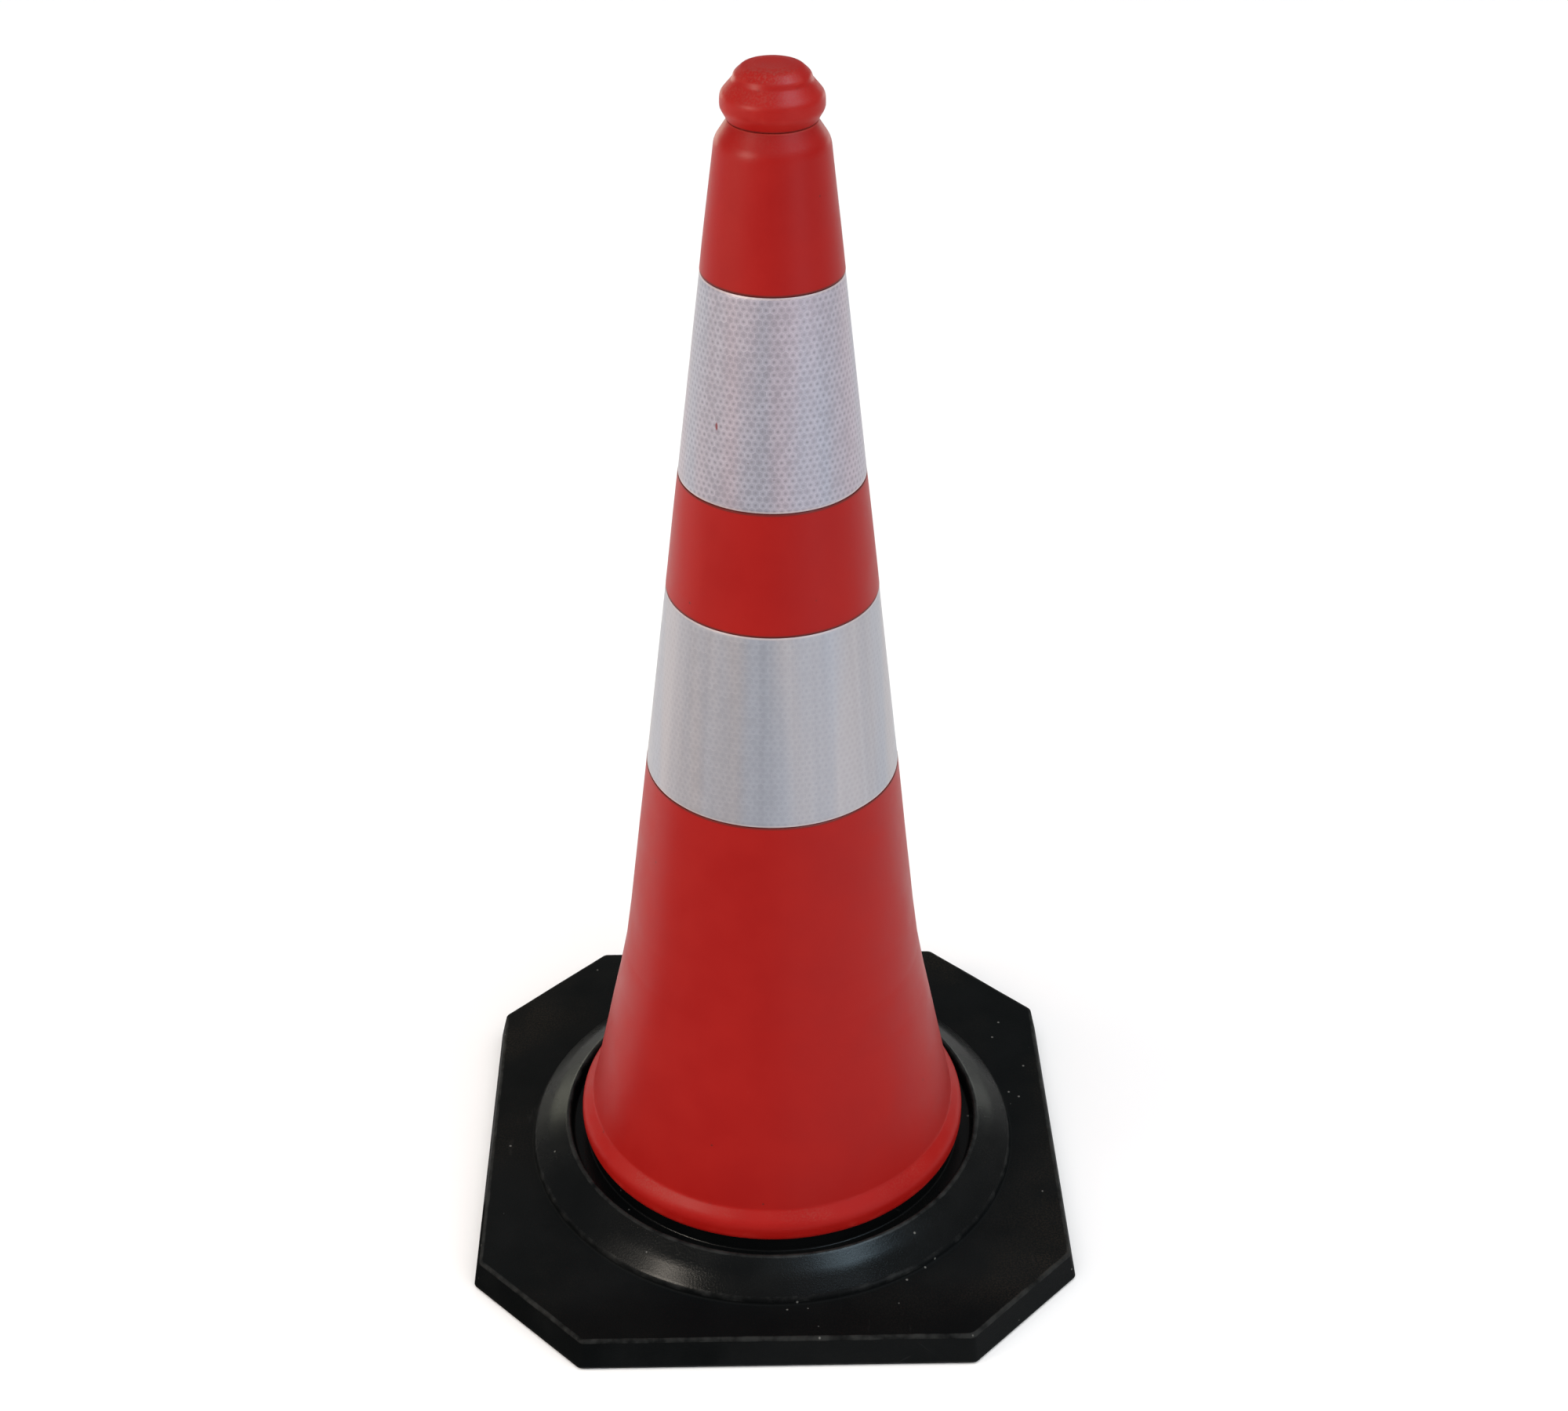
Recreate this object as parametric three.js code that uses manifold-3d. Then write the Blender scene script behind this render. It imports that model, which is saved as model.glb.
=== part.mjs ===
// Traffic cone, about one metre tall, in two main mouldings: a hollow plastic cone and a heavy
// rubber base. Two bands of reflective film are stuck round the cone, and a knob plugs its top.
// Millimetres, +Z up, origin at the centre of the base's underside.

import * as THREE from 'three';
import { mergeVertices } from 'three/addons/utils/BufferGeometryUtils.js';
import Module from 'manifold-3d';

const wasm = await Module();
wasm.setup();

// ---------------------------------------------------------------- driving dimensions

const HEIGHT = 1000;
const SEGMENTS = 48;        // facets round every turned shape, so neighbours keep an even gap
const FIT_GAP = 0.3;        // air between pieces that touch

const BASE_WIDTH = 510;
const BASE_CORNER_CUT = 93; // what each corner loses along each side
const SLAB_TOP = 27;
const SLAB_DRAFT = 5.5;     // how far the slab's sides lean in over its height

const RING_FOOT_RADIUS = 212.5;
const RING_CREST_RADIUS = 181;
const RING_TOP = 52;

const WALL = 2.5;           // the cone's moulded wall
const LIP_RADIUS = 168;
const LIP_HEIGHT = 64;      // height of the lip's widest line
const LIP_UNDERSIDE = 53;
const SKIRT_RADIUS = 150;
const SKIRT_FOOT = 4;

const CONE_TOP = { z: 940, r: 42 };
const CONE_FOOT = { z: 268, r: 120.2 };
const FLARE_TOP = { z: 225, r: 127.1 };
const FLARE_FOOT = { z: 80, r: 158 };
const NECK_HEIGHT = 961.2;
const NECK_RADIUS = 31.8;
const PLUG_RADIUS = 24;

const UPPER_BAND = { low: 690, high: 850 };
const LOWER_BAND = { low: 431, high: 591 };
const BAND_THICKNESS = 0.5;
const BAND_RECESS = 0.6;    // the shallow bed moulded for the film

// ---------------------------------------------------------------- materials

const red = { color: 0xb3261f, roughness: 0.45, metalness: 0 };
const material = {
  rubber: { color: 0x171a1b, roughness: 0.7, metalness: 0 },
  shell: red,
  knob: red,
  film: { color: 0xb4b6c2, roughness: 0.35, metalness: 0.1 },
};

// ---------------------------------------------------------------- small helpers

const object = new THREE.Group();

function addPiece(name, geometry, look) {
  geometry.computeVertexNormals();
  const mesh = new THREE.Mesh(geometry, new THREE.MeshStandardMaterial(look));
  mesh.name = name;
  object.add(mesh);
}

/** A closed surface with only its corners, each stored once. */
function welded(geometry) {
  const bare = geometry.clone();
  bare.deleteAttribute('normal');
  bare.deleteAttribute('uv');
  return mergeVertices(bare, 1e-4);
}

function toSolid(geometry) {
  const { attributes, index } = welded(geometry);
  return new wasm.Manifold(new wasm.Mesh({
    numProp: 3,
    vertProperties: new Float32Array(attributes.position.array),
    triVerts: new Uint32Array(index.array),
  }));
}

function toGeometry(solid) {
  const { vertProperties, triVerts } = solid.getMesh();
  const geometry = new THREE.BufferGeometry();
  geometry.setAttribute('position', new THREE.BufferAttribute(vertProperties, 3));
  geometry.setIndex(new THREE.BufferAttribute(triVerts, 1));
  return geometry;
}

/** Turns a profile of [radius, height] points about +Z. The points go anticlockwise. */
function revolve(profile) {
  const points = profile.map(([r, z]) => new THREE.Vector2(r, z));
  return new THREE.LatheGeometry(points, SEGMENTS).rotateX(Math.PI / 2);
}

/** The same, for a profile that closes on itself clear of the axis. */
function revolveRing(profile) {
  return revolve([...profile, profile[0]]);
}

/** Points on an arc from one angle to another, in degrees, as [radius, height]. */
function arc([centreR, centreZ], radius, fromDeg, toDeg, steps) {
  return Array.from({ length: steps + 1 }, (_, i) => {
    const angle = THREE.MathUtils.degToRad(fromDeg + ((toDeg - fromDeg) * i) / steps);
    return [centreR + radius * Math.cos(angle), centreZ + radius * Math.sin(angle)];
  });
}

// ---------------------------------------------------------------- rubber base

/** The square with cut corners, drawn in by the same amount on all eight sides. */
function octagon(inset) {
  const half = BASE_WIDTH / 2 - inset;
  const cornerReach = BASE_WIDTH - BASE_CORNER_CUT - inset * Math.SQRT2;
  const short = cornerReach - half;
  const quarter = [[half, -short], [half, short]];
  return [0, 1, 2, 3].flatMap((turn) => quarter.map(([x, y]) => {
    const corner = new THREE.Vector2(x, y);
    return corner.rotateAround(new THREE.Vector2(), (turn * Math.PI) / 2);
  }));
}

/** Joins octagons at rising heights into one closed slab. */
function slab() {
  const levels = [[0, 1.5], [1.5, 0], [SLAB_TOP - 2, SLAB_DRAFT], [SLAB_TOP, SLAB_DRAFT + 2]];
  const rings = levels.map(([z, inset]) => octagon(inset).map((p) => [p.x, p.y, z]));
  const count = rings[0].length;
  const faces = [];
  for (let level = 0; level + 1 < rings.length; level += 1) {
    for (let i = 0; i < count; i += 1) {
      const a = level * count + i;
      const b = level * count + ((i + 1) % count);
      faces.push(a, b, b + count, a, b + count, a + count);
    }
  }
  const top = (rings.length - 1) * count;
  for (let i = 1; i + 1 < count; i += 1) {
    faces.push(0, i + 1, i);
    faces.push(top, top + i, top + i + 1);
  }
  const geometry = new THREE.BufferGeometry();
  geometry.setAttribute('position', new THREE.Float32BufferAttribute(rings.flat(2), 3));
  geometry.setIndex(faces);
  return geometry;
}

/** The raised collar: a sloped ring, a gutter inside it, and the seat the cone's lip rests on. */
function collar() {
  const root = 10;
  const seatTop = LIP_UNDERSIDE - FIT_GAP;
  const gutter = 38.5;
  return revolveRing([
    [SKIRT_RADIUS - 10, root],
    [RING_FOOT_RADIUS, root],
    [RING_FOOT_RADIUS, SLAB_TOP + 2.5],
    ...arc([RING_FOOT_RADIUS - 4, SLAB_TOP + 2.5], 4, 15, 60, 3),
    ...arc([RING_CREST_RADIUS + 0.5, RING_TOP - 2.5], 2.5, 60, 165, 4),
    [RING_CREST_RADIUS - 3.5, gutter + 2],
    [RING_CREST_RADIUS - 5.5, gutter],
    [LIP_RADIUS - 3, gutter],
    [LIP_RADIUS - 5, gutter + 2],
    [LIP_RADIUS - 6.5, seatTop - 1.5],
    [LIP_RADIUS - 8, seatTop],
    [SKIRT_RADIUS - 10, seatTop],
  ]);
}

/** One of the ring of pockets under the collar, which save rubber between radial ribs. */
function ringPocket(index, count) {
  const inner = 160;
  const outer = 206;
  const rib = 9;
  const depth = 25;
  const middle = (index * 2 * Math.PI) / count;
  const half = Math.PI / count - rib / 2 / inner;
  const outline = new THREE.Shape();
  outline.absarc(0, 0, outer, middle - half, middle + half, false);
  outline.absarc(0, 0, inner, middle + half, middle - half, true);
  const options = { depth: depth + 1, bevelEnabled: false, curveSegments: 5 };
  return new THREE.ExtrudeGeometry(outline, options).translate(0, 0, -1);
}

/** A round-ended pocket under each cut corner. */
function cornerPocket(index) {
  const near = 236;
  const far = 260;
  const radius = 18;
  const depth = 15;
  const outline = new THREE.Shape();
  outline.absarc(far, 0, radius, -Math.PI / 2, Math.PI / 2, false);
  outline.absarc(near, 0, radius, Math.PI / 2, (3 * Math.PI) / 2, false);
  const options = { depth: depth + 1, bevelEnabled: false, curveSegments: 8 };
  return new THREE.ExtrudeGeometry(outline, options)
    .translate(0, 0, -1)
    .rotateZ(Math.PI / 4 + (index * Math.PI) / 2);
}

function rubberBase() {
  const boreRadius = SKIRT_RADIUS + FIT_GAP + 0.1;
  const bore = new THREE.CylinderGeometry(boreRadius, boreRadius, 200, SEGMENTS);
  const pocketCount = 16;
  let solid = toSolid(slab()).add(toSolid(collar()));
  solid = solid.subtract(toSolid(bore.rotateX(Math.PI / 2)));
  for (let i = 0; i < pocketCount; i += 1) {
    solid = solid.subtract(toSolid(ringPocket(i, pocketCount)));
  }
  for (let i = 0; i < 4; i += 1) {
    solid = solid.subtract(toSolid(cornerPocket(i)));
  }
  return toGeometry(solid);
}

// ---------------------------------------------------------------- cone shell

/** Outside radius of the straight part of the cone at a height. */
function coneRadius(z) {
  return THREE.MathUtils.mapLinear(z, CONE_FOOT.z, CONE_TOP.z, CONE_FOOT.r, CONE_TOP.r);
}

/** The shallow bed that a band of film lies in, from its lower to its upper edge. */
function bandBed({ low, high }) {
  const margin = 0.6;
  const bottom = low - margin;
  const top = high + margin;
  return [
    [coneRadius(bottom), bottom],
    [coneRadius(bottom) - BAND_RECESS, bottom + 0.3],
    [coneRadius(top) - BAND_RECESS, top - 0.3],
    [coneRadius(top), top],
  ];
}

/** Outside of the shell from the skirt's foot up to the neck. */
function shellOutside() {
  return [
    [SKIRT_RADIUS - 1.5, SKIRT_FOOT],
    [SKIRT_RADIUS, SKIRT_FOOT + 2.5],
    [SKIRT_RADIUS, LIP_UNDERSIDE],
    [LIP_RADIUS - 7, LIP_UNDERSIDE],
    [LIP_RADIUS - 3, LIP_UNDERSIDE + 1.5],
    [LIP_RADIUS - 0.7, LIP_HEIGHT - 5.5],
    [LIP_RADIUS, LIP_HEIGHT],
    [LIP_RADIUS - 1, LIP_HEIGHT + 4],
    [LIP_RADIUS - 5, LIP_HEIGHT + 10],
    [FLARE_FOOT.r, FLARE_FOOT.z],
    [FLARE_TOP.r, FLARE_TOP.z],
    [CONE_FOOT.r, CONE_FOOT.z],
    ...bandBed(LOWER_BAND),
    ...bandBed(UPPER_BAND),
    [CONE_TOP.r, CONE_TOP.z],
    [41.4, 944.5],
    [39.6, 949.5],
    [37, 954],
    [34.4, 957.8],
    [NECK_RADIUS, NECK_HEIGHT],
  ];
}

/** Inside of the shell from the neck's hole down to the skirt's foot. */
function shellInside() {
  return [
    [PLUG_RADIUS, NECK_HEIGHT],
    [PLUG_RADIUS, NECK_HEIGHT - WALL - 0.8],
    [32.6, 955.4],
    [37.6, 947],
    [CONE_TOP.r - WALL, CONE_TOP.z - 0.5],
    [coneRadius(UPPER_BAND.low) - WALL - BAND_RECESS, UPPER_BAND.low],
    [CONE_FOOT.r - WALL, CONE_FOOT.z],
    [FLARE_TOP.r - WALL, FLARE_TOP.z],
    [FLARE_FOOT.r - WALL, FLARE_FOOT.z - 1],
    [LIP_RADIUS - WALL - 1, LIP_HEIGHT + 2],
    [LIP_RADIUS - WALL - 1.5, LIP_UNDERSIDE + 6],
    [LIP_RADIUS - 9, LIP_UNDERSIDE + WALL],
    [SKIRT_RADIUS - WALL, LIP_UNDERSIDE + WALL],
    [SKIRT_RADIUS - WALL, SKIRT_FOOT],
  ];
}

/** Slots that let the skirt's tongues spring in as the cone is pushed into the base. */
function skirtSlot(index, count) {
  const width = 7;
  const top = 36;
  const slot = new THREE.BoxGeometry(4 * WALL, width, top);
  return slot.translate(SKIRT_RADIUS, 0, top / 2 - 1).rotateZ((index * 2 * Math.PI) / count);
}

function coneShell() {
  const slotCount = 8;
  let solid = toSolid(revolveRing([...shellOutside(), ...shellInside()]));
  for (let i = 0; i < slotCount; i += 1) {
    solid = solid.subtract(toSolid(skirtSlot(i + 0.5, slotCount)));
  }
  return toGeometry(solid);
}

// ---------------------------------------------------------------- top knob

/** A hollow knob with a stem that snaps into the shell's neck. */
function topKnob() {
  const foot = NECK_HEIGHT + FIT_GAP;
  const stemRadius = PLUG_RADIUS - FIT_GAP;
  const stemFoot = 940;
  const underNeck = NECK_HEIGHT - WALL - 0.8 - FIT_GAP;
  return revolve([
    [0, 993],
    [18, 992],
    [22, 987],
    [stemRadius - 3.5, 960],
    [stemRadius - 3.5, stemFoot],
    [stemRadius - 1.5, stemFoot],
    [stemRadius + 1.2, underNeck - 5],
    [stemRadius + 1.2, underNeck - 1],
    [stemRadius, underNeck],
    [stemRadius, foot],
    [NECK_RADIUS, foot],
    [34.9, 967],
    [36.3, 972.5],
    [36, 976.5],
    [33.6, 982.3],
    [30.4, 986.8],
    [28.2, 989],
    [27.3, 991.5],
    [25, 995.2],
    [20.5, HEIGHT - 1.4],
    [15, HEIGHT],
    [0, HEIGHT],
  ]);
}

// ---------------------------------------------------------------- reflective bands

/**
 * A strip of film wound once round the cone. Its outer end rises over its inner end and laps it
 * by one facet at the back.
 */
function filmBand({ low, high }) {
  const step = (2 * Math.PI) / SEGMENTS;
  const rampFacets = 4;
  const lap = BAND_THICKNESS + FIT_GAP;
  const corners = [];
  for (let i = 0; i <= SEGMENTS + 1; i += 1) {
    const lift = lap * THREE.MathUtils.clamp((i - SEGMENTS + rampFacets) / rampFacets, 0, 1);
    const angle = Math.PI + i * step;
    for (const [z, depth] of [[low, 0], [low, 1], [high, 1], [high, 0]]) {
      const r = coneRadius(z) - BAND_RECESS + FIT_GAP + lift + depth * BAND_THICKNESS;
      corners.push(r * Math.sin(angle), -r * Math.cos(angle), z);
    }
  }
  const faces = [0, 1, 2, 0, 2, 3];
  for (let i = 0; i <= SEGMENTS; i += 1) {
    for (let side = 0; side < 4; side += 1) {
      const a = i * 4 + side;
      const b = i * 4 + ((side + 1) % 4);
      faces.push(a, a + 4, b, b, a + 4, b + 4);
    }
  }
  const end = (SEGMENTS + 1) * 4;
  faces.push(end, end + 2, end + 1, end, end + 3, end + 2);
  const geometry = new THREE.BufferGeometry();
  geometry.setAttribute('position', new THREE.Float32BufferAttribute(corners, 3));
  geometry.setIndex(faces);
  return geometry;
}

// ---------------------------------------------------------------- the object

addPiece('rubber_base', rubberBase(), material.rubber);
addPiece('cone_shell', coneShell(), material.shell);
addPiece('top_knob', welded(topKnob()), material.knob);
addPiece('upper_band', filmBand(UPPER_BAND), material.film);
addPiece('lower_band', filmBand(LOWER_BAND), material.film);

export default object;
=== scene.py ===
# %% [markdown]
# # A traffic cone in its rubber base
# The real object is two mouldings: a hollow plastic cone and a heavy rubber base with a collar
# that the cone drops into. A knob plugs the cone's top, and two bands of reflective film are
# stuck round it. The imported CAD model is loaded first, because every size and place below is
# taken from it or is measured against it. The CAD pieces are coarse, so each one is replaced
# by a finer mesh of the same shape.

# %% Load the frame
import math

import bpy
from mathutils import Matrix, Vector, noise


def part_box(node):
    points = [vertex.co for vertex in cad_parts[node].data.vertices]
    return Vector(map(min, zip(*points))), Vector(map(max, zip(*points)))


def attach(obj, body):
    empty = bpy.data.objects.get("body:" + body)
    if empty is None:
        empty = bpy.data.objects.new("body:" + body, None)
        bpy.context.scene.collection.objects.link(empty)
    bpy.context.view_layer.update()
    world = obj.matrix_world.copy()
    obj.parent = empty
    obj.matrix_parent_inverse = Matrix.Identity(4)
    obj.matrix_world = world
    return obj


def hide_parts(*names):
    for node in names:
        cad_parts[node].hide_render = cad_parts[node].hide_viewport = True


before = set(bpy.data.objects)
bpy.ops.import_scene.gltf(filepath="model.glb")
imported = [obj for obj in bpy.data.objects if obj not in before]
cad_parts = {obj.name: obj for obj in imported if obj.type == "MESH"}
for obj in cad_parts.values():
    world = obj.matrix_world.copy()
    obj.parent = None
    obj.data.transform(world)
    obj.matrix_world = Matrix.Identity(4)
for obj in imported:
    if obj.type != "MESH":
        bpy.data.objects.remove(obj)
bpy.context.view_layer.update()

MM = 0.001
cone_low, cone_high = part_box("cone_shell")
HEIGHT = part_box("top_knob")[1].z / MM
BASE_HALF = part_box("rubber_base")[1].x / MM
LIP_RADIUS = cone_high.x / MM
NECK_TOP = cone_high.z / MM
print(f"{HEIGHT:.0f} mm tall, base {2 * BASE_HALF:.0f} mm wide, lip radius {LIP_RADIUS:.0f} mm")

# %% [markdown]
# ## The studio
# A pale floor reaches far behind the cone, so that it is the whole background. It has to look
# even, near and far, and an area light fades with distance, so the main light is a sun with a
# very wide disc, which acts as an endless soft box overhead. Two panels shape the cone: a warm
# one on the left and a cooler one on the right. A satin wall that leans back reflects the floor
# in front of it, so a dark card lies there, seen by reflections only. It is the classic way to
# draw a deep stripe down a glossy round object and to make its colour look rich. The black
# rubber shows almost nothing but reflections, so a few small panels are there only to be
# mirrored: in the collar's slope, in its shoulders, and as the small lights on the knob. The
# sun and the left panel are left out of the reflections, which stay dark where no other panel
# is mirrored. Past the end of the floor the world is seen as white, but lights things dimly.

# %% Floor and soft lights
def plain_material(name, colour):
    """A matt paint for things that belong to the studio."""
    paint = bpy.data.materials.new(name)
    paint.use_nodes = True
    surface = paint.node_tree.nodes["Principled BSDF"]
    surface.inputs["Base Color"].default_value = (*colour, 1)
    surface.inputs["Roughness"].default_value = 0.9
    surface.inputs["Specular IOR Level"].default_value = 0.1
    return paint


def studio_floor():
    """A wide square sheet that the base stands on."""
    width, drop = 120, 0.0005
    bpy.ops.mesh.primitive_plane_add(size=width, location=(0, 0, -drop))
    floor = bpy.context.object
    floor.name = "studio_floor"
    floor.data.materials.append(plain_material("studio_white", (0.90, 0.90, 0.90)))


def dark_card(from_deg, to_deg):
    """A fan of dark card on the floor in front, between two directions from the cone's axis."""
    near, far, rise = 0.34, 5.0, 0.002
    corners = [(near, from_deg), (far, from_deg), (far, to_deg), (near, to_deg)]
    mesh = bpy.data.meshes.new("dark_card")
    points = [(r * math.sin(math.radians(a)), -r * math.cos(math.radians(a)), rise) for r, a in corners]
    mesh.from_pydata(points, [], [(0, 1, 2, 3)])
    card = bpy.data.objects.new("dark_card", mesh)
    mesh.materials.append(plain_material("studio_black", (0.02, 0.02, 0.02)))
    bpy.context.scene.collection.objects.link(card)
    card.visible_camera = card.visible_diffuse = card.visible_shadow = False


def place_light(name, kind, place, aim, power, colour):
    """A light that faces a point, and that the camera doesn't see."""
    light = bpy.data.objects.new(name, bpy.data.lights.new(name, kind))
    light.data.energy = power
    light.data.color = colour
    light.location = place
    light.rotation_euler = (Vector(aim) - Vector(place)).to_track_quat("-Z", "Y").to_euler()
    light.visible_camera = False
    bpy.context.scene.collection.objects.link(light)
    return light


def soft_panel(name, place, size, watts, colour):
    """A rectangular area light that faces the cone."""
    cone_middle = (0, 0, 0.45)
    panel = place_light(name, "AREA", place, cone_middle, watts, colour)
    panel.data.shape = "RECTANGLE"
    panel.data.size, panel.data.size_y = size
    return panel


def reflection_panel(name, place, size, watts, colour):
    """A panel that is only seen mirrored in glossy surfaces, and lights nothing else."""
    soft_panel(name, place, size, watts, colour).visible_diffuse = False


def room_light(strength, seen):
    """Even light from all round, for the shadows' fill. Past the floor it is seen as white."""
    world = bpy.data.worlds.new("room")
    world.use_nodes = True
    background = world.node_tree.nodes["Background"]
    background.inputs["Color"].default_value = (1, 1, 1, 1)
    background.inputs["Strength"].default_value = strength
    nodes, links = world.node_tree.nodes, world.node_tree.links
    seen_background = nodes.new("ShaderNodeBackground")
    seen_background.inputs["Color"].default_value = (1, 1, 1, 1)
    seen_background.inputs["Strength"].default_value = seen
    pick = nodes.new("ShaderNodeMixShader")
    links.new(nodes.new("ShaderNodeLightPath").outputs["Is Camera Ray"], pick.inputs[0])
    links.new(background.outputs[0], pick.inputs[1])
    links.new(seen_background.outputs[0], pick.inputs[2])
    links.new(pick.outputs[0], nodes["World Output"].inputs["Surface"])
    bpy.context.scene.world = world


bpy.context.scene.view_settings.view_transform = "Standard"
studio_floor()
dark_card(-92, 6)
room_light(0.28, seen=1.0)
overhead = place_light("overhead", "SUN", (0.5, -1.0, 3.0), (0, 0, 0), 2.8, (1, 1, 1))
overhead.data.angle = math.radians(100)
overhead.visible_glossy = False
panel_left = soft_panel("panel_left", (-2.4, -0.6, 1.0), (1.6, 1.8), 36, (1.0, 0.82, 0.68))
panel_left.visible_glossy = False
soft_panel("panel_right", (1.8, -1.8, 0.9), (1.2, 1.8), 12, (0.80, 0.90, 1.0))
reflection_panel("shine_above", (0.85, -0.40, 2.3), (0.8, 0.6), 26, (0.62, 0.84, 1.0))
reflection_panel("shine_left", (-1.33, -1.0, 1.6), (0.45, 0.60), 30, (1.0, 0.90, 0.78))
reflection_panel("shine_back_left", (-1.6, 2.6, 0.75), (1.3, 0.6), 11, (1.0, 1.0, 0.80))
reflection_panel("shine_back_right", (1.7, 2.5, 0.75), (1.0, 0.6), 7, (0.95, 1.0, 0.92))

# %% [markdown]
# ## The camera
# The cone is seen from above, so the view looks down by about a third of a right angle. The
# lens is a short telephoto, which keeps the tall cone from leaning.

# %% Camera
def set_camera():
    lens_mm, look_down, look_right, lean = 56.05, 33.01, -1.38, 0.19
    tilt, turn, roll = (math.radians(angle) for angle in (90 - look_down, look_right, lean))
    camera = bpy.data.objects.new("camera", bpy.data.cameras.new("camera"))
    camera.data.lens = lens_mm
    camera.data.sensor_width = 36
    aim = Matrix.Rotation(turn, 4, "Z") @ Matrix.Rotation(tilt, 4, "X")
    spin = Matrix.Rotation(roll, 4, "Z")
    place = Vector((-0.030, -1.6315, 1.5384))
    camera.matrix_world = Matrix.Translation(place) @ aim @ spin
    bpy.context.scene.collection.objects.link(camera)
    bpy.context.scene.camera = camera


set_camera()

# %% [markdown]
# ## Profiles with rounded corners
# Nearly every surface here was turned or moulded from an outline. An outline is easiest to draw
# as a few corners, each with the radius it is rounded to, so the first helper turns such corners
# into a smooth run of points. It also notes how sharply the outline bends at each point: edges
# that stick out get rubbed paler, which on the rubber is partly a painted highlight, and creases
# are darkened with painted shade and some dirt, and the materials use that note for both.

# %% Round the corners of an outline
def bend_of(radius, outward):
    """1 on a sharp outward corner, -1 in a sharp inward one, and less on a gentle curve."""
    softness = 3
    return (1 if outward else -1) / (1 + radius / softness)


def rounded(corners, closed=True, step_deg=9):
    """Corners (a, b, radius), anticlockwise, become points (a, b, bend)."""
    points = []
    count = len(corners)
    for i, (a, b, radius) in enumerate(corners):
        here = Vector((a, b))
        if not closed and i in (0, count - 1):
            points.append((a, b, 0.0))
            continue
        before = Vector(corners[i - 1][:2]) - here
        after = Vector(corners[(i + 1) % count][:2]) - here
        turn = math.pi - before.angle(after)
        reach = radius * math.tan(turn / 2)
        if reach < 1e-6:
            points.append((a, b, 0.0))
            continue
        start = here + before.normalized() * reach
        end = here + after.normalized() * reach
        outward = before.x * after.y - before.y * after.x < 0
        steps = max(2, round(math.degrees(turn) / step_deg))
        for k in range(steps + 1):
            t = k / steps
            p = start.lerp(here, t).lerp(here.lerp(end, t), t)
            points.append((p.x, p.y, bend_of(radius, outward)))
    return points


def with_steps(points, longest, closed=True):
    """Splits long stretches, with a close step at each end that keeps the shading crisp."""
    close = 1.2
    out = []
    pairs = list(zip(points, points[1:] + points[:1]))
    for (a, b, bend), (c, d, _) in pairs if closed else pairs[:-1]:
        out.append((a, b, bend))
        length = math.hypot(c - a, d - b)
        if length < 4 * close:
            continue
        inner = length - 2 * close
        steps = math.ceil(inner / longest)
        for k in range(steps + 1):
            t = (close + inner * k / steps) / length
            out.append((a + (c - a) * t, b + (d - b) * t, 0.0))
    if not closed:
        out.append(points[-1])
    return out


# %% [markdown]
# ## Turning an outline into a mesh
# A modifier such as Screw would turn the outline, but it can't add the slight unevenness of a
# real moulding or carry the edge note, so the mesh is built directly: one ring of vertices for
# each outline point, and quads between neighbouring rings.

# %% Build meshes from rings
def mesh_object(name, vertices, faces, bends=None):
    """A smooth-shaded object in metres, from vertices in millimetres."""
    mesh = bpy.data.meshes.new(name)
    mesh.from_pydata([Vector(v) * MM for v in vertices], [], faces)
    mesh.polygons.foreach_set("use_smooth", [True] * len(mesh.polygons))
    if bends:
        mesh.attributes.new("bend", "FLOAT", "POINT").data.foreach_set("value", bends)
    mesh.update()
    piece = bpy.data.objects.new(name, mesh)
    bpy.context.scene.collection.objects.link(piece)
    return piece


def ring_faces(rings, count, closed):
    """Quads between neighbouring rings. A closed run joins its ends, and an open one is capped."""
    faces = []
    for i in range(rings if closed else rings - 1):
        low, high = i * count, ((i + 1) % rings) * count
        for k in range(count):
            n = (k + 1) % count
            faces.append((low + k, low + n, high + n, high + k))
    if not closed:
        last = (rings - 1) * count
        faces.append(tuple(reversed(range(count))))
        faces.append(tuple(range(last, last + count)))
    return faces


def unevenness(x, y, z):
    """A slow wave through space, from -1 to 1, for surfaces that aren't perfectly true."""
    return noise.noise(Vector((x / 45, y / 45, z / 70)))


def turned(name, outline, segments, ripple, closed=True):
    """Turns an outline about the axis. Ripple is a moulding's unevenness, in millimetres."""
    vertices, bends = [], []
    for radius, z, bend in outline:
        for k in range(segments):
            angle = 2 * math.pi * k / segments
            x, y = math.cos(angle), math.sin(angle)
            r = radius + ripple * unevenness(x * radius, y * radius, z)
            vertices.append((r * x, r * y, z))
            bends.append(bend)
    return mesh_object(name, vertices, ring_faces(len(outline), segments, closed), bends)


def even_shading(piece):
    """Large faces decide the shading, so that flats stay flat up to their rounded edges."""
    piece.modifiers.new("even_shading", "WEIGHTED_NORMAL").keep_sharp = True


def cut_with(piece, cutter):
    """Cuts the cutter out of a piece, and removes it."""
    hole = piece.modifiers.new("cut", "BOOLEAN")
    hole.operation, hole.solver, hole.object = "DIFFERENCE", "EXACT", cutter
    bpy.context.view_layer.update()
    bpy.context.view_layer.objects.active = piece
    bpy.ops.object.modifier_apply(modifier=hole.name)
    bpy.data.objects.remove(cutter, do_unlink=True)


# %% [markdown]
# ## The cone shell
# The real shell is blown or spun plastic, about 2.5 mm thick everywhere. Its outline is a
# straight cone that flares near the foot, a fat rounded lip, and a skirt that hides inside the
# base. The film lies in two very shallow beds. Because the shell is hollow and can be lifted
# and looked into, the outline goes down the outside and back up the inside.

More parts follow.
